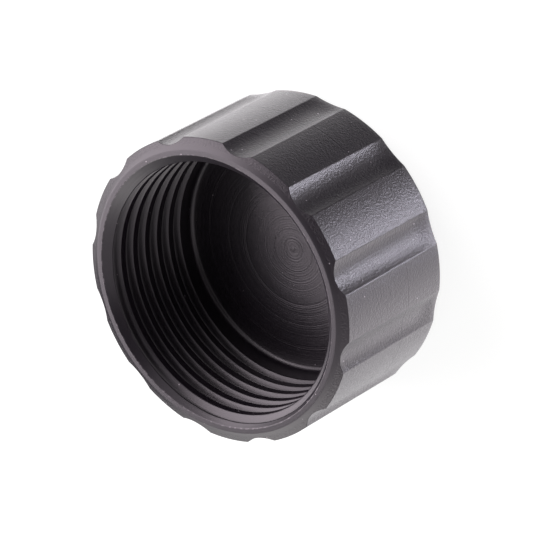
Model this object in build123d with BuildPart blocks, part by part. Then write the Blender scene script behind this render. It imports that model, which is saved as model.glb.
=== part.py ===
"""Blind, female-threaded protection cap for a 3/4 inch parallel pipe thread.

One moulded piece in black plastic.  Millimetres, +Z out of the mouth; the cap
stands on its closed end, which lies on Z = 0 with the axis on the Z axis.
"""
import os
from math import radians, tan

from build123d import *

# ---------------------------------------------------------------- outer body
closed_end_diameter = 30.5  # over the grip ridges, at the closed end
mouth_end_diameter = 29.9   # the same at the mouth: the side tapers a little
body_length = 15.0          # closed end to mouth face
end_edge_break = 0.2        # small chamfer round the closed end

# ---------------------------------------------------------------- grip flutes
flute_count = 12
flute_width = 3.3           # chord across a flute, the same all along
flute_mouth_depth = 0.55    # ridge surface down to the flute's lowest line
flute_end_depth = 0.2       # the same at the closed end: the flute gets shallower
flute_first_angle = 15.0    # a ridge, not a flute, lies on +X

# ---------------------------------------------------------------- mouth
mouth_face_outer_diameter = 27.8    # the flat ring left by the outer chamfer
mouth_chamfer_height = 0.53         # how far the outer chamfer comes down
lead_in_diameter = 26.8             # inner edge of the flat ring

# ---------------------------------------------------------------- socket
thread_bore_diameter = 25.0         # over the thread's flat crests
thread_root_diameter = 26.5         # across the bottoms of the grooves
thread_pitch = 25.4 / 14.0          # 14 threads to the inch
thread_flank_angle = 27.5           # each flank, from square to the axis
thread_groove_width = 1.09          # opening of the groove in the bore
thread_end_height = 4.3             # middle of the groove where it stops
thread_end_angle = 102.6            # and where that is, round the axis
floor_thickness = 2.4
floor_corner = 0.5                  # chamfer where the bore meets the floor

# ------------------------------------------------------- derived dimensions
closed_end_radius = closed_end_diameter / 2.0
mouth_end_radius = mouth_end_diameter / 2.0
mouth_face_radius = mouth_face_outer_diameter / 2.0
lead_in_radius = lead_in_diameter / 2.0
bore_radius = thread_bore_diameter / 2.0
half_chord = flute_width / 2.0
cutter_reach = closed_end_radius + 2.0     # the flute cutter's outer side
chamfer_foot_z = body_length - mouth_chamfer_height
side_slope = (closed_end_radius - mouth_end_radius) / body_length
chamfer_foot_radius = closed_end_radius - side_slope * chamfer_foot_z
# where the flute's edges and its lowest line lie at either end of the cap
end_edge_x = (closed_end_radius**2 - half_chord**2) ** 0.5
end_bottom_x = closed_end_radius - flute_end_depth
mouth_edge_x = (mouth_end_radius**2 - half_chord**2) ** 0.5
mouth_bottom_x = mouth_end_radius - flute_mouth_depth

# the thread cutter starts inside the bore, so that it cuts the wall cleanly
root_radius = thread_root_diameter / 2.0
cutter_start = 0.2
flank_slope = tan(radians(thread_flank_angle))
groove_half_opening = thread_groove_width / 2.0
groove_half_start = groove_half_opening + cutter_start * flank_slope
groove_half_root = groove_half_opening - (root_radius - bore_radius) * flank_slope
thread_run = body_length - thread_end_height + groove_half_start
# the lead-in is a 45 degree cone, cut from just inside the bore
lead_in_start_radius = bore_radius - cutter_start

os.makedirs("parts", exist_ok=True)

with BuildPart() as flute_cutter:
    # the flute's section at the closed end
    with BuildSketch(Plane.XY):
        with BuildLine():
            ThreePointArc(
                (end_edge_x, -half_chord), (end_bottom_x, 0.0), (end_edge_x, half_chord)
            )
            Polyline(
                (end_edge_x, half_chord),
                (cutter_reach, half_chord),
                (cutter_reach, -half_chord),
                (end_edge_x, -half_chord),
            )
        make_face()
    # and at the mouth
    with BuildSketch(Plane.XY.offset(body_length)):
        with BuildLine():
            ThreePointArc(
                (mouth_edge_x, -half_chord), (mouth_bottom_x, 0.0), (mouth_edge_x, half_chord)
            )
            Polyline(
                (mouth_edge_x, half_chord),
                (cutter_reach, half_chord),
                (cutter_reach, -half_chord),
                (mouth_edge_x, -half_chord),
            )
        make_face()
    loft(ruled=True)

with BuildPart() as thread_cutter:
    # a right-hand helix at the thread's crests, from the stop up past the mouth
    with BuildLine() as thread_path:
        Helix(pitch=thread_pitch, height=thread_run, radius=bore_radius)
    start = thread_path.line @ 0
    along = thread_path.line % 0
    with BuildSketch(Plane(origin=start, x_dir=(1.0, 0.0, 0.0), z_dir=along)):
        with BuildLine():
            Polyline(
                (-cutter_start, -groove_half_start),
                (root_radius - bore_radius, -groove_half_root),
                (root_radius - bore_radius, groove_half_root),
                (-cutter_start, groove_half_start),
                close=True,
            )
        make_face()
    sweep(path=thread_path.line, is_frenet=True)

with BuildPart() as cap:
    # the turned outside: closed end, tapered side, chamfer and mouth face
    with BuildSketch(Plane.XZ):
        with BuildLine():
            Polyline(
                (0.0, 0.0),
                (closed_end_radius, 0.0),
                (chamfer_foot_radius, chamfer_foot_z),
                (mouth_face_radius, body_length),
                (0.0, body_length),
                close=True,
            )
        make_face()
    revolve(axis=Axis.Z)

    # the edge of the closed end is broken
    chamfer(cap.edges().group_by(Axis.Z)[0], length=end_edge_break)

    # the socket's bore, down to its flat floor
    with BuildSketch(Plane.XY.offset(floor_thickness)):
        Circle(bore_radius)
    extrude(amount=body_length - floor_thickness, mode=Mode.SUBTRACT)

    # the broken corner where the bore meets the floor
    floor_edges = (
        cap.edges()
        .filter_by(GeomType.CIRCLE)
        .filter_by(lambda edge: abs(edge.center().Z - floor_thickness) < 0.01)
    )
    chamfer(floor_edges, length=floor_corner)

    # the internal thread
    with Locations(Location((0.0, 0.0, thread_end_height), (0.0, 0.0, thread_end_angle))):
        add(thread_cutter.part, mode=Mode.SUBTRACT)

    # the lead-in at the mouth, cut through the first turn
    with BuildSketch(Plane.XZ):
        with BuildLine():
            Polyline(
                (lead_in_start_radius, body_length - lead_in_radius + lead_in_start_radius),
                (lead_in_radius, body_length),
                (lead_in_start_radius, body_length),
                close=True,
            )
        make_face()
    revolve(axis=Axis.Z, mode=Mode.SUBTRACT)

    # concave grip flutes, open at both ends
    with PolarLocations(0.0, flute_count, start_angle=flute_first_angle):
        add(flute_cutter.part, mode=Mode.SUBTRACT)

cap.part.label = "cap"
export_step(cap.part, "parts/cap.step")
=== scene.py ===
import math

import bpy
import numpy as np
from bpy.props import FloatProperty, FloatVectorProperty, IntProperty, PointerProperty
from mathutils import Matrix, Vector


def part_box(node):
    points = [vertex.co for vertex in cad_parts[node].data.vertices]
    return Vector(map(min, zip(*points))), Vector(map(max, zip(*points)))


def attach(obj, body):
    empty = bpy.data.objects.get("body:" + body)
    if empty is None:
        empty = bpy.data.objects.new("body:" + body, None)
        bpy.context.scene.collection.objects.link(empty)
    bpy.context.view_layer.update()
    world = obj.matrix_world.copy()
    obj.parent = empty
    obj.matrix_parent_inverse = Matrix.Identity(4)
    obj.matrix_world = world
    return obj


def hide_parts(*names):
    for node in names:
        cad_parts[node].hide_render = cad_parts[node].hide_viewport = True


bl_info = {
    "name": "Threaded protection cap",
    "version": (1, 0, 0),
    "blender": (4, 5, 0),
    "location": "3D View > Sidebar > Cap",
    "description": "Models a fluted, internally threaded plastic cap and its studio",
    "category": "Add Mesh",
}

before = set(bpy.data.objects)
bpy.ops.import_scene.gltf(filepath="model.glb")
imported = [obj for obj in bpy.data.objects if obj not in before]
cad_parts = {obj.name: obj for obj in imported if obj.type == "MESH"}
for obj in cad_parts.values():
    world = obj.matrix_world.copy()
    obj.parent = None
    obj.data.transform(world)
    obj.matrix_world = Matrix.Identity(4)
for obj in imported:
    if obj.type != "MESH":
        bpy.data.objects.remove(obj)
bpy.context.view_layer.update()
CAP_LOW, CAP_HIGH = (Vector(corner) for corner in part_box("cap"))
MM = 0.001

# how finely the skin is divided
COLUMNS_PER_FLUTE = 24
THREAD_ROWS = 212

# small forms of the skin
SUPPORT = 0.16 * MM             # from the parting line to the rows that keep its shading narrow
PARTING_HALF_WIDTH = 0.05 * MM
PARTING_DEPTH = 0.012 * MM
MOULD_STEP = 0.005 * MM         # how far the mould's two halves are out of line
RING_HALF_WIDTH = 0.09 * MM
RING_SUPPORT = 0.28 * MM
RING_DEPTH = 0.008 * MM
ROOT_ROUND = 0.34 * MM          # rounding of the thread's roots, crests and lead-in
CREST_ROUND = 0.05 * MM
LEAD_IN_ROUND = 0.03 * MM
RUN_OUT = 0.28 * MM             # height over which the thread's groove fades out
THREAD_FLANK = math.radians(27.5)
EARLY_DEPTH_HEIGHT = 2.5 * MM   # where the flutes have reached their early depth


# ------------------------------------------------------------------ settings

class CapSizes(bpy.types.PropertyGroup):
    """Sizes of the moulded cap, in metres."""

    closed_end_diameter: FloatProperty(
        name="Closed end diameter", description="Over the grip ridges, at the closed end",
        default=30.5 * MM, unit="LENGTH", subtype="DISTANCE")
    mouth_end_diameter: FloatProperty(
        name="Mouth end diameter", description="Over the grip ridges, at the mouth",
        default=29.9 * MM, unit="LENGTH", subtype="DISTANCE")
    body_length: FloatProperty(
        name="Length", description="From the closed end to the mouth face",
        default=CAP_HIGH.z - CAP_LOW.z, unit="LENGTH", subtype="DISTANCE")
    end_round: FloatProperty(
        name="Closed end radius", description="Small radius round the closed end",
        default=0.22 * MM, unit="LENGTH", subtype="DISTANCE")
    flute_count: IntProperty(
        name="Flutes", description="Grip flutes round the side", default=12, min=3)
    flute_width: FloatProperty(
        name="Flute width", description="Chord across one flute",
        default=3.3 * MM, unit="LENGTH", subtype="DISTANCE")
    flute_mouth_depth: FloatProperty(
        name="Flute depth at the mouth", description="Ridge surface down to the flute's lowest line",
        default=0.55 * MM, unit="LENGTH", subtype="DISTANCE")
    flute_end_depth: FloatProperty(
        name="Flute depth at the closed end", description="The flutes get shallower towards it",
        default=0.2 * MM, unit="LENGTH", subtype="DISTANCE")
    flute_early_depth: FloatProperty(
        name="Early flute depth", description="Deeper by this, soon after the closed end",
        default=0.18 * MM, unit="LENGTH", subtype="DISTANCE")
    flute_edge_round: FloatProperty(
        name="Flute edge radius", description="Width of the rounded edge beside each flute",
        default=0.09 * MM, unit="LENGTH", subtype="DISTANCE")
    face_outer_diameter: FloatProperty(
        name="Mouth face diameter", description="Outer edge of the flat ring at the mouth",
        default=27.8 * MM, unit="LENGTH", subtype="DISTANCE")
    chamfer_height: FloatProperty(
        name="Chamfer height", description="How far the outer chamfer comes down",
        default=0.53 * MM, unit="LENGTH", subtype="DISTANCE")
    lead_in_diameter: FloatProperty(
        name="Lead-in diameter", description="Inner edge of the flat ring at the mouth",
        default=26.8 * MM, unit="LENGTH", subtype="DISTANCE")
    bore_diameter: FloatProperty(
        name="Thread crest diameter", description="Smooth bore that the thread is cut out from",
        default=25.0 * MM, unit="LENGTH", subtype="DISTANCE")
    thread_root_diameter: FloatProperty(
        name="Thread root diameter", description="Across the bottoms of the thread grooves",
        default=26.5 * MM, unit="LENGTH", subtype="DISTANCE")
    thread_pitch: FloatProperty(
        name="Thread pitch", description="14 threads to the inch",
        default=25.4 / 14 * MM, unit="LENGTH", subtype="DISTANCE", precision=5)
    thread_groove_width: FloatProperty(
        name="Groove width", description="Opening of a thread groove in the bore",
        default=1.09 * MM, unit="LENGTH", subtype="DISTANCE")
    thread_reference: FloatProperty(
        name="Thread start height", description="Height of the top groove's middle at -X",
        default=13.76 * MM, unit="LENGTH", subtype="DISTANCE")
    thread_end: FloatProperty(
        name="Thread end height", description="Height where the groove has run out",
        default=4.05 * MM, unit="LENGTH", subtype="DISTANCE")
    floor_thickness: FloatProperty(
        name="Floor thickness", description="Closed end's wall",
        default=2.4 * MM, unit="LENGTH", subtype="DISTANCE")
    floor_fillet: FloatProperty(
        name="Floor fillet", description="Radius where the bore meets the floor",
        default=0.6 * MM, unit="LENGTH", subtype="DISTANCE")
    floor_ring_diameter: FloatProperty(
        name="Floor ring diameter", description="Faint witness ring on the socket's floor",
        default=11.4 * MM, unit="LENGTH", subtype="DISTANCE")
    parting_height: FloatProperty(
        name="Parting line height", description="Witness line of the mould round the side",
        default=5.3 * MM, unit="LENGTH", subtype="DISTANCE")


class StageSettings(bpy.types.PropertyGroup):
    """Camera, floor and lamps."""

    camera_azimuth: FloatProperty(
        name="Camera azimuth", description="Where the camera stands round the cap",
        default=math.radians(31.66), unit="ROTATION", subtype="ANGLE")
    camera_elevation: FloatProperty(
        name="Camera elevation", description="Angle above the closed end's plane",
        default=math.radians(46.97), unit="ROTATION", subtype="ANGLE")
    camera_roll: FloatProperty(
        name="Camera roll", description="Turn about the line of sight: the cap is seen lying down",
        default=math.radians(-118.82), unit="ROTATION", subtype="ANGLE")
    camera_distance: FloatProperty(
        name="Camera distance", description="From the closed end's middle, along the line of sight",
        default=240.86 * MM, unit="LENGTH", subtype="DISTANCE")
    camera_side_step: FloatProperty(
        name="Side step", description="Camera moved to its own right",
        default=-4.02 * MM, unit="LENGTH", subtype="DISTANCE")
    camera_rise: FloatProperty(
        name="Rise", description="Camera moved along its own up direction",
        default=-2.40 * MM, unit="LENGTH", subtype="DISTANCE")
    lens: FloatProperty(
        name="Focal length", description="In millimetres, on a 36 mm sensor", default=168.5)


class FinishColours(bpy.types.PropertyGroup):
    """Colours of the plastic, as sRGB."""

    plastic: FloatVectorProperty(
        name="Plastic", description="Black nylon, moulded", size=3, subtype="COLOR_GAMMA",
        default=(0x18 / 255, 0x13 / 255, 0x1A / 255), min=0, max=1)
    # Dust specks, and also the painted highlight along the lead-in's lip
    dust_and_lip_highlight: FloatVectorProperty(
        name="Dust", description="Specks and scuffs on the rim", size=3, subtype="COLOR_GAMMA",
        default=(0x9A / 255, 0x90 / 255, 0x98 / 255), min=0, max=1)


# ------------------------------------------------------------------ helpers

def linear(colour):
    """sRGB to linear, with alpha 1."""
    def one(c):
        return c / 12.92 if c <= 0.04045 else ((c + 0.055) / 1.055) ** 2.4
    return tuple(one(c) for c in colour) + (1.0,)


def add_node(tree, kind, settings=None, **links):
    """Adds a node; links name inputs and give a value or an output socket."""
    node = tree.nodes.new(kind)
    for name, value in (settings or {}).items():
        setattr(node, name, value)
    for name, value in links.items():
        key = int(name[1:]) if name[0] == "i" and name[1:].isdigit() else name.replace("_", " ")
        if isinstance(value, bpy.types.NodeSocket):
            tree.links.new(value, node.inputs[key])
        else:
            node.inputs[key].default_value = value
    return node


def deselect_all():
    bpy.ops.object.select_all(action="DESELECT")


def stop_edit():
    if bpy.context.object and bpy.context.object.mode != "OBJECT":
        bpy.ops.object.mode_set(mode="OBJECT")


def smooth_min(a, b, width):
    """The lower of two values, with the corner between them rounded."""
    h = np.clip(0.5 + 0.5 * (b - a) / width, 0.0, 1.0)
    return b + (a - b) * h - width * h * (1.0 - h)


def smooth_step(a, b, x):
    t = np.clip((x - a) / (b - a), 0.0, 1.0)
    return t * t * (3.0 - 2.0 * t)


# --------------------------------------------------------------- the surface

def meridian(s):
    """Half section of the cap, from the socket floor's middle round to the outside's.

    Each entry is a radius, a height, and how many cuts divide the way to it.
    """
    floor = s.floor_thickness
    bore = s.bore_diameter / 2
    ring = s.floor_ring_diameter / 2
    top = s.body_length
    lead = s.lead_in_diameter / 2
    face = s.face_outer_diameter / 2
    foot_z = top - s.chamfer_height
    closed = s.closed_end_diameter / 2
    slope = (closed - s.mouth_end_diameter / 2) / top
    part_z = s.parting_height
    points = [
        (0.0, floor + 0.03 * MM, 0),
        (0.16 * MM, floor + 0.02 * MM, 0),
        (0.30 * MM, floor - 0.015 * MM, 0),
        (0.42 * MM, floor, 0),
        (0.6 * MM, floor, 0),
        (ring - RING_SUPPORT, floor, 4),
        (ring - RING_HALF_WIDTH, floor, 0),
        (ring, floor - RING_DEPTH, 0),
        (ring + RING_HALF_WIDTH, floor, 0),
        (ring + RING_SUPPORT, floor, 0),
        (bore - s.floor_fillet, floor, 4),
    ]
    for k in range(1, 7):
        a = k / 6 * math.pi / 2
        points.append((
            bore - s.floor_fillet * (1 - math.sin(a)), floor + s.floor_fillet * (1 - math.cos(a)), 0))
    points += [
        (bore, s.thread_end - 0.1 * MM, 4),
        (bore, top, THREAD_ROWS),
        (lead + 0.03 * MM, top, 0),
        (face - 0.05 * MM, top, 2),
        (face, top - 0.004 * MM, 0),
        (face + 0.06 * MM, top - 0.035 * MM, 0),
        (closed - slope * foot_z - 0.06 * MM, foot_z + 0.03 * MM, 3),
        (closed - slope * foot_z, foot_z, 0),
        (closed - slope * foot_z, foot_z - 0.07 * MM, 0),
        (closed - slope * part_z, part_z + SUPPORT, 12),
        (closed - slope * part_z, part_z + PARTING_HALF_WIDTH, 0),
        (closed - slope * part_z - PARTING_DEPTH, part_z, 0),
        (closed - slope * part_z, part_z - PARTING_HALF_WIDTH, 0),
        (closed - slope * part_z, part_z - SUPPORT, 0),
        (closed - slope * s.end_round, s.end_round, 8),
    ]
    for k in range(1, 5):
        a = k / 4 * math.pi / 2
        points.append((
            closed - s.end_round * (1 - math.cos(a)), s.end_round * (1 - math.sin(a)), 0))
    points.append((0.0, 0.0, 10))
    return points


def ridge_radius(s, z):
    closed = s.closed_end_diameter / 2
    return closed - (closed - s.mouth_end_diameter / 2) * z / s.body_length


def flute_edge_angle(s, z):
    return np.arcsin(s.flute_width / 2 / ridge_radius(s, z))


def side_radius(s, angle, z):
    """Radius of the outside at an angle from the nearest flute's middle."""
    ridge = ridge_radius(s, z)
    half = s.flute_width / 2
    along = np.clip(z / s.body_length, 0.0, 1.0)
    depth = s.flute_end_depth + (s.flute_mouth_depth - s.flute_end_depth) * along
    depth = depth + s.flute_early_depth * smooth_step(0.0, EARLY_DEPTH_HEIGHT, z) * (1.0 - along)
    edge = np.sqrt(ridge ** 2 - half ** 2)
    bottom = ridge - depth
    sagitta = edge - bottom
    arc = (half ** 2 + sagitta ** 2) / (2 * sagitta)
    centre = bottom + arc
    inside = np.maximum(arc ** 2 - (centre * np.sin(angle)) ** 2, 0.0)
    flute = centre * np.cos(angle) - np.sqrt(inside)
    return np.where(np.abs(angle) < flute_edge_angle(s, z), flute, ridge)


def gather_columns(s, angle, z, share):
    """Moves the mesh's columns on to the flutes' edges, with one close on either side."""
    edge = flute_edge_angle(s, z)
    near = s.flute_edge_round / ridge_radius(s, z)
    half_sector = math.pi / s.flute_count
    step = math.radians(360 / s.flute_count / COLUMNS_PER_FLUTE)
    stations = np.array([0.0, 4 * step, 5 * step, 6 * step, half_sector])
    size = np.abs(angle)
    out = size.copy()
    targets = [np.zeros_like(edge), edge - near, edge, edge + near, np.full_like(edge, half_sector)]
    for k in range(4):
        low, high = stations[k], stations[k + 1]
        here = (size >= low - 1e-6) & (size <= high + 1e-6)
        t = (size[here] - low) / (high - low)
        out[here] = targets[k][here] + t * (targets[k + 1][here] - targets[k][here])
    out = size + (out - size) * share
    return np.sign(angle) * out


def thread_depth(s, turn, z):
    """Depth of the thread groove below the crest, at an angle and a height."""
    pitch = s.thread_pitch
    rise = z - s.thread_reference - pitch * (turn - math.pi) / (2 * math.pi)
    count = np.round(rise / pitch)
    off = np.abs(rise - count * pitch)
    middle = z - (rise - count * pitch)
    full = (s.thread_root_diameter - s.bore_diameter) / 2
    flank = (s.thread_groove_width / 2 - off) / math.tan(THREAD_FLANK)
    depth = smooth_min(flank, np.full_like(flank, full), ROOT_ROUND)
    depth = -smooth_min(-depth, np.zeros_like(depth), CREST_ROUND)
    run_out = smooth_step(s.thread_end, s.thread_end + RUN_OUT, middle)
    return np.maximum(depth, 0.0) * run_out


def shape_skin(s, co):
    """Turns the plain turned skin into the fluted and threaded one."""
    r = np.hypot(co[:, 0], co[:, 1])
    turn = np.arctan2(co[:, 1], co[:, 0]) % (2 * math.pi)
    z = co[:, 2].copy()
    top = s.body_length
    sector = 2 * math.pi / s.flute_count
    angle = (turn % sector) - sector / 2        # from the nearest flute's middle
    flute_middle = turn - angle
    foot_z = top - s.chamfer_height
    face = s.face_outer_diameter / 2
    ridge_foot = float(ridge_radius(s, foot_z))

    # where the outer chamfer's cone meets the side, by angle: a scalloped line
    chamfer_slope = (ridge_foot - face) / s.chamfer_height
    def foot_height(a):
        height = np.full_like(a, foot_z)
        for _ in range(30):
            rs = side_radius(s, a, height)
            height = np.minimum(top - (rs - face) / chamfer_slope, top)
        return height

    # the side, scaled above the parting line so that it ends on that line
    side = (r > face + 0.1 * MM) & (z <= foot_z + 1e-7) & (z >= s.end_round - 1e-7)
    groove = np.where(side, np.maximum(ridge_radius(s, z) - r, 0.0), 0.0)
    new_angle = angle.copy()
    new_angle[side] = gather_columns(s, angle[side], z[side], 1.0)
    low = s.parting_height + SUPPORT
    top_part = side & (z > low + 0.01 * MM)
    foot = foot_height(new_angle[top_part])
    z_side = z[top_part]
    z[top_part] = low + (z_side - low) * (foot - low) / (foot_z - low)
    new_angle[top_part] = gather_columns(s, angle[top_part], z[top_part], 1.0)
    new_r = r.copy()
    new_r[side] = side_radius(s, new_angle[side], z[side]) - groove[side]
    # the two halves of the mould don't meet quite exactly
    above = side & (z > s.parting_height + 0.03 * MM)
    new_r[above] -= MOULD_STEP * (1 - smooth_step(s.parting_height, top, z[above]))

    # the chamfer, between that line and the mouth face
    chamfer = (r > face + 1e-7) & (co[:, 2] > foot_z + 1e-7)
    share = np.clip((r[chamfer] - face) / (ridge_foot - face), 0, 1)
    a = gather_columns(s, angle[chamfer], np.full(chamfer.sum(), foot_z), share)
    foot = foot_height(a)
    foot_r = side_radius(s, a, foot)
    z[chamfer] = top + (foot - top) * share
    new_r[chamfer] = face + (foot_r - face) * share
    new_angle[chamfer] = a

    # the closed end follows the flutes too
    end = (z < s.end_round - 1e-7) & (r > 1 * MM)
    rim = float(ridge_radius(s, s.end_round))
    weight = smooth_step(rim - 1.6 * MM, rim - 0.4 * MM, r[end])
    a = gather_columns(s, angle[end], np.full(end.sum(), s.end_round), weight)
    lowered = rim - side_radius(s, a, np.full(end.sum(), s.end_round))
    new_r[end] = r[end] - lowered * weight
    new_angle[end] = a

    # the socket: the thread, and the lead-in that cuts into it
    bore = s.bore_diameter / 2
    wall = (np.abs(r - bore) < 1e-6) & (z > s.floor_thickness + s.floor_fillet)
    cut = bore + thread_depth(s, turn[wall], z[wall])
    lead = s.lead_in_diameter / 2 - (top - z[wall])
    new_r[wall] = -smooth_min(-cut, -lead, LEAD_IN_ROUND)

    turned = flute_middle + new_angle
    co[:, 0] = new_r * np.cos(turned)
    co[:, 1] = new_r * np.sin(turned)
    co[:, 2] = z
    return co


class CAP_OT_skin(bpy.types.Operator):
    """Moulded cap: turned skin with grip flutes, thread and parting line"""

    bl_idname = "cap.skin"
    bl_label = "Cap"

    def execute(self, context):
        s = context.scene.cap_sizes
        stop_edit()
        deselect_all()

        # the half section is drawn point by point, starting from one vertex
        bpy.ops.mesh.primitive_plane_add(size=0.001)
        cap = context.object
        cap.name = "cap_skin"
        cap.data.name = "cap_skin"
        bpy.ops.object.mode_set(mode="EDIT")
        bpy.ops.mesh.select_mode(type="VERT")
        bpy.ops.mesh.select_all(action="SELECT")
        bpy.ops.mesh.merge(type="CENTER")
        points = meridian(s)
        here = Vector((points[0][0], 0.0, points[0][1]))
        bpy.ops.transform.translate(value=here)
        for radius, height, cuts in points[1:]:
            goal = Vector((radius, 0.0, height))
            step = (goal - here) / (cuts + 1)
            for _ in range(cuts + 1):
                bpy.ops.mesh.extrude_region_move(TRANSFORM_OT_translate={"value": step})
            here = goal

        # and turned about the axis
        bpy.ops.mesh.select_all(action="SELECT")
        bpy.ops.mesh.spin(
            steps=COLUMNS_PER_FLUTE * s.flute_count, angle=2 * math.pi, center=(0, 0, 0), axis=(0, 0, 1))
        bpy.ops.mesh.select_all(action="SELECT")
        bpy.ops.mesh.remove_doubles(threshold=0.005 * MM)
        bpy.ops.mesh.select_all(action="SELECT")
        bpy.ops.mesh.normals_make_consistent(inside=False)
        bpy.ops.object.mode_set(mode="OBJECT")

        # flutes, chamfer and thread are pressed into the turned skin
        count = len(cap.data.vertices)
        co = np.empty(count * 3)
        cap.data.vertices.foreach_get("co", co)
        co = shape_skin(s, co.reshape(-1, 3))
        cap.data.vertices.foreach_set("co", co.ravel())
        cap.data.update()
        bpy.ops.object.shade_smooth()

        cap.data.materials.clear()
        cap.data.materials.append(moulded_plastic(context.scene.cap_colours, s))
        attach(cap, "root")
        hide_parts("cap")
        return {"FINISHED"}


# ----------------------------------------------------------------- materials

def moulded_plastic(colours, s):
    """Black nylon, injection moulded: spark-eroded matt outside, turned core inside.

    The matt texture scatters the highlights into fine sparkle; the socket was moulded
    on a turned steel core, which leaves fine rings and a smoother, satin surface.
    """
    material = bpy.data.materials.new("black_nylon_moulded")
    material.use_nodes = True
    tree = material.node_tree
    tree.nodes.clear()
    place = add_node(tree, "ShaderNodeTexCoord").outputs["Object"]
    split = add_node(tree, "ShaderNodeSeparateXYZ", Vector=place)
    square_x = add_node(
        tree, "ShaderNodeMath", {"operation": "MULTIPLY"},
        i0=split.outputs["X"], i1=split.outputs["X"])
    square_y = add_node(
        tree, "ShaderNodeMath", {"operation": "MULTIPLY"},
        i0=split.outputs["Y"], i1=split.outputs["Y"])
    total = add_node(
        tree, "ShaderNodeMath", {"operation": "ADD"},
        i0=square_x.outputs[0], i1=square_y.outputs[0])
    radius = add_node(tree, "ShaderNodeMath", {"operation": "SQRT"}, i0=total.outputs[0])

    # 1 on the outside, 0 in the socket and on the mouth's turned faces
    outside = add_node(
        tree, "ShaderNodeMapRange", Value=radius.outputs[0],
        From_Min=14.25 * MM, From_Max=14.35 * MM)
    below = add_node(
        tree, "ShaderNodeMapRange", Value=split.outputs["Z"],
        From_Min=0.6 * MM, From_Max=0.5 * MM)
    matt = add_node(
        tree, "ShaderNodeMath", {"operation": "MAXIMUM"},
        i0=outside.outputs["Result"], i1=below.outputs["Result"])

    # spark-eroded grain, drawn at about 0.2 mm so that it shows
    grain = add_node(
        tree, "ShaderNodeTexNoise", Vector=place, Scale=1 / (0.22 * MM), Detail=3.0, Roughness=0.65)
    # turning marks of the core: rings about the axis, drawn about 0.16 mm apart
    ring_place = add_node(tree, "ShaderNodeCombineXYZ", X=radius.outputs[0], Y=0.0, Z=split.outputs["Z"])
    rings = add_node(
        tree, "ShaderNodeTexNoise", Vector=ring_place.outputs[0], Scale=1 / (0.16 * MM), Detail=2.0,
        Roughness=0.6)
    height = add_node(
        tree, "ShaderNodeMix", {"data_type": "FLOAT"},
        i0=matt.outputs[0], i2=rings.outputs["Fac"], i3=grain.outputs["Fac"])
    strength = add_node(
        tree, "ShaderNodeMapRange", Value=matt.outputs[0], To_Min=0.10, To_Max=0.62)
    # the marks are plainer on the socket's floor
    floor_marks = add_node(
        tree, "ShaderNodeMapRange", Value=split.outputs["Z"],
        From_Min=s.floor_thickness + 0.3 * MM, From_Max=s.floor_thickness + 0.1 * MM,
        To_Min=0.0, To_Max=0.35)
    on_floor = add_node(
        tree, "ShaderNodeMath", {"operation": "SUBTRACT", "use_clamp": True},
        i0=floor_marks.outputs["Result"], i1=matt.outputs[0])
    relief = add_node(
        tree, "ShaderNodeMath", {"operation": "ADD"}, i0=strength.outputs[0], i1=on_floor.outputs[0])
    bump = add_node(
        tree, "ShaderNodeBump", Height=height.outputs[0], Strength=relief.outputs[0],
        Distance=0.08 * MM)

    # Dust specks of about 0.1 mm, and a painted highlight along the lead-in's lip, broken into patches
    cells = add_node(tree, "ShaderNodeTexVoronoi", Vector=place, Scale=1 / (1.4 * MM))
    specks = add_node(
        tree, "ShaderNodeMath", {"operation": "LESS_THAN"}, i0=cells.outputs["Distance"], i1=0.045)
    lip = add_node(
        tree, "ShaderNodeMath", {"operation": "COMPARE"},
        i0=radius.outputs[0], i1=s.lead_in_diameter / 2, i2=0.06 * MM)
    lip_highlight_breakup = add_node(tree, "ShaderNodeTexNoise", Vector=place, Scale=1 / (0.5 * MM), Detail=2.0)
    lip_highlight_patches = add_node(
        tree, "ShaderNodeMapRange", Value=lip_highlight_breakup.outputs["Fac"], From_Min=0.5, From_Max=0.65,
        To_Max=0.3)
    # painted highlight: the lip's edge shown lighter, in patches
    painted_lip_highlight = add_node(
        tree, "ShaderNodeMath", {"operation": "MULTIPLY"},
        i0=lip.outputs[0], i1=lip_highlight_patches.outputs["Result"])
    marks = add_node(
        tree, "ShaderNodeMath", {"operation": "MAXIMUM"}, i0=specks.outputs[0], i1=painted_lip_highlight.outputs[0])
    colour = add_node(
        tree, "ShaderNodeMix", {"data_type": "RGBA"},
        i0=marks.outputs[0], i6=linear(colours.plastic), i7=linear(colours.dust_and_lip_highlight))

    rough = add_node(tree, "ShaderNodeMapRange", Value=matt.outputs[0], To_Min=0.34, To_Max=0.32)
    shader = add_node(
        tree, "ShaderNodeBsdfPrincipled", Base_Color=colour.outputs[2],
        Roughness=rough.outputs[0], Normal=bump.outputs[0], IOR=1.53,
        Specular_Tint=(1.0, 0.91, 0.98, 1.0))
    add_node(tree, "ShaderNodeOutputMaterial", Surface=shader.outputs[0])
    return material


def studio_floor():
    """Matt white paper: overexposed to the camera, as a lit sweep is, so that it
    shows white and keeps only the cap's soft shadow.
    """
    material = bpy.data.materials.new("white_paper")
    material.use_nodes = True
    tree = material.node_tree
    tree.nodes.clear()
    paper = add_node(
        tree, "ShaderNodeBsdfPrincipled", Base_Color=(0.8, 0.8, 0.8, 1), Roughness=0.9)
    glow = add_node(tree, "ShaderNodeEmission", Color=(1, 1, 1, 1), Strength=0.86)
    faint = add_node(
        tree, "ShaderNodeBsdfDiffuse", Color=(0.25, 0.25, 0.25, 1))
    shown = add_node(tree, "ShaderNodeAddShader", i0=glow.outputs[0], i1=faint.outputs[0])
    ray = add_node(tree, "ShaderNodeLightPath")
    mixed = add_node(
        tree, "ShaderNodeMixShader", Fac=ray.outputs["Is Camera Ray"],
        i1=paper.outputs[0], i2=shown.outputs[0])
    add_node(tree, "ShaderNodeOutputMaterial", Surface=mixed.outputs[0])
    return material


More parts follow.
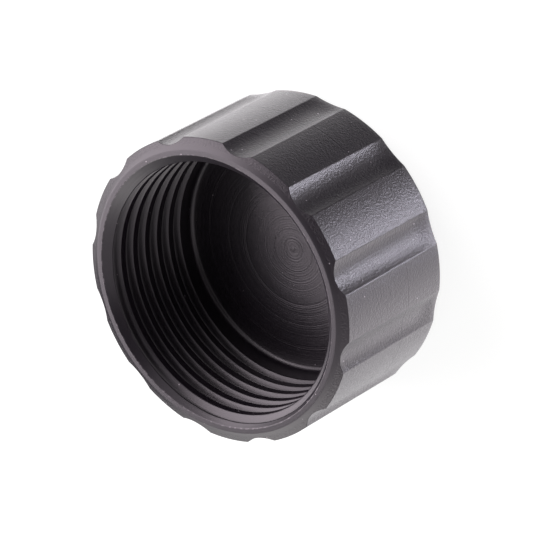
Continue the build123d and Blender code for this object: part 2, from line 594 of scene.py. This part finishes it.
def black_card():
    """Black felt on a card: keeps the room's light off the dark reflections."""
    material = bpy.data.materials.new("black_felt")
    material.use_nodes = True
    shader = material.node_tree.nodes["Principled BSDF"]
    shader.inputs["Base Color"].default_value = (0.01, 0.01, 0.01, 1)
    shader.inputs["Roughness"].default_value = 1.0
    return material


# --------------------------------------------------------------------- stage

class CAP_OT_stage(bpy.types.Operator):
    """Floor, lamps, world and camera"""

    bl_idname = "cap.stage"
    bl_label = "Stage"

    def execute(self, context):
        scene = context.scene
        t = scene.cap_stage
        stop_edit()
        deselect_all()

        back = Vector((
            math.cos(t.camera_elevation) * math.cos(t.camera_azimuth),
            math.cos(t.camera_elevation) * math.sin(t.camera_azimuth),
            math.sin(t.camera_elevation)))
        level = Vector((0, 0, 1)).cross(back).normalized()
        steep = back.cross(level)
        right = math.cos(t.camera_roll) * level + math.sin(t.camera_roll) * steep
        up = back.cross(right)

        bpy.ops.object.camera_add()
        camera = context.object
        camera.name = "camera"
        camera.data.sensor_width = 36.0
        camera.data.lens = t.lens
        camera.data.clip_start = 0.01
        place = back * t.camera_distance + right * t.camera_side_step + up * t.camera_rise
        turn = Matrix((right, up, back)).transposed().to_4x4()
        camera.matrix_world = Matrix.Translation(place) @ turn
        scene.camera = camera

        # the floor under the closed end
        deselect_all()
        bpy.ops.mesh.primitive_plane_add(size=6.0, location=(0, 0, CAP_LOW.z))
        floor = context.object
        floor.name = "floor"
        floor.data.materials.append(studio_floor())
        floor.visible_glossy = False    # the side reflects the lamps and the room
        floor.visible_shadow = False

        # lamps and cards are placed by the camera's own directions, and face the cap
        middle = (CAP_LOW + CAP_HIGH) / 2

        def aimed(direction, distance):
            across, upward, towards = direction
            away = (right * across + up * upward + back * towards).normalized()
            return (
                Matrix.Translation(middle + away * distance)
                @ away.to_track_quat("Z", "Y").to_matrix().to_4x4())

        def lamp(name, direction, distance, size, power, colour):
            deselect_all()
            bpy.ops.object.light_add(type="AREA")
            light = context.object
            light.name = name
            light.data.shape = "RECTANGLE"
            light.data.size = size[0]
            light.data.size_y = size[1]
            light.data.energy = power
            light.data.color = colour
            light.matrix_world = aimed(direction, distance)

        lamp("left_softbox", (-0.94, 0.12, 0.10), 0.5, (0.70, 0.44), 4.4, (1.0, 0.95, 0.98))
        lamp("right_lamp", (0.97, 0.24, -0.10), 0.5, (0.11, 0.11), 1.25, (0.88, 0.91, 1.0))
        lamp("right_bounce", (0.84, -0.28, -0.46), 0.5, (0.26, 0.22), 0.5, (1.0, 0.97, 1.0))
        lamp("table_bounce", (-0.35, -0.9, -0.1), 0.5, (0.5, 0.3), 1.2, (0.98, 1.0, 0.95))
        lamp("back_bounce", (0.0, 0.42, -0.9), 0.6, (0.5, 0.4), 1.1, (1.0, 0.97, 0.99))
        lamp("low_bounce", (0.45, -0.38, -0.8), 0.5, (0.24, 0.24), 0.2, (1.0, 0.97, 1.0))

        # black cards: the unlit room behind the camera and over the right-hand side; the low one is a
        # dark sheet put for the cap's shadow on a table, a painted reflection of shade
        def flag(name, direction, distance, size):
            deselect_all()
            bpy.ops.mesh.primitive_plane_add(size=1.0)
            card = context.object
            card.name = name
            scale = Matrix.Diagonal((size[0], size[1], 1, 1))
            card.matrix_world = aimed(direction, distance) @ scale
            card.data.materials.append(black_card())
            card.visible_camera = False
            card.visible_shadow = False

        flag("room_side", (-0.15, -0.1, 0.9), 0.55, (0.5, 0.5))
        flag("ceiling_side", (0.45, 0.85, -0.05), 0.55, (0.36, 0.36))
        # painted reflection of shade: stands for the cap's shadow on a table, seen only in the rim's
        # reflections
        flag("table_shadow_card", (-0.585, -0.306, -0.75), 0.5, (0.24, 0.24))

        world = bpy.data.worlds.new("studio")
        scene.world = world
        world.use_nodes = True
        tree = world.node_tree
        tree.nodes.clear()
        ray = add_node(tree, "ShaderNodeLightPath")
        seen = add_node(
            tree, "ShaderNodeMath", {"operation": "MAXIMUM"},
            i0=ray.outputs["Is Camera Ray"], i1=ray.outputs["Is Glossy Ray"])
        seen = add_node(
            tree, "ShaderNodeMath", {"operation": "MAXIMUM"},
            i0=seen.outputs[0], i1=ray.outputs["Is Transmission Ray"])
        dim = add_node(tree, "ShaderNodeBackground", Color=(1, 1, 1, 1), Strength=0.45)
        white = add_node(tree, "ShaderNodeBackground", Color=(1, 1, 1, 1), Strength=1.0)
        mixed = add_node(
            tree, "ShaderNodeMixShader", Fac=seen.outputs[0],
            i1=dim.outputs[0], i2=white.outputs[0])
        add_node(tree, "ShaderNodeOutputWorld", Surface=mixed.outputs[0])

        scene.view_settings.view_transform = "Standard"
        return {"FINISHED"}


class CAP_PT_panel(bpy.types.Panel):
    """Buttons and settings of the cap"""

    bl_idname = "CAP_PT_panel"
    bl_label = "Threaded cap"
    bl_space_type = "VIEW_3D"
    bl_region_type = "UI"
    bl_category = "Cap"

    def draw(self, context):
        layout = self.layout
        layout.operator("cap.skin")
        layout.operator("cap.stage")
        for group in ("cap_sizes", "cap_stage", "cap_colours"):
            settings = getattr(context.scene, group)
            for name in settings.bl_rna.properties.keys():
                if name not in ("rna_type", "name"):
                    layout.prop(settings, name)


CLASSES = (CapSizes, StageSettings, FinishColours, CAP_OT_skin, CAP_OT_stage, CAP_PT_panel)


def register():
    for cls in CLASSES:
        bpy.utils.register_class(cls)
    bpy.types.Scene.cap_sizes = PointerProperty(type=CapSizes)
    bpy.types.Scene.cap_stage = PointerProperty(type=StageSettings)
    bpy.types.Scene.cap_colours = PointerProperty(type=FinishColours)


def unregister():
    del bpy.types.Scene.cap_colours
    del bpy.types.Scene.cap_stage
    del bpy.types.Scene.cap_sizes
    for cls in reversed(CLASSES):
        bpy.utils.unregister_class(cls)


def main():
    register()
    bpy.ops.cap.skin()
    bpy.ops.cap.stage()


if __name__ == "__main__":
    main()
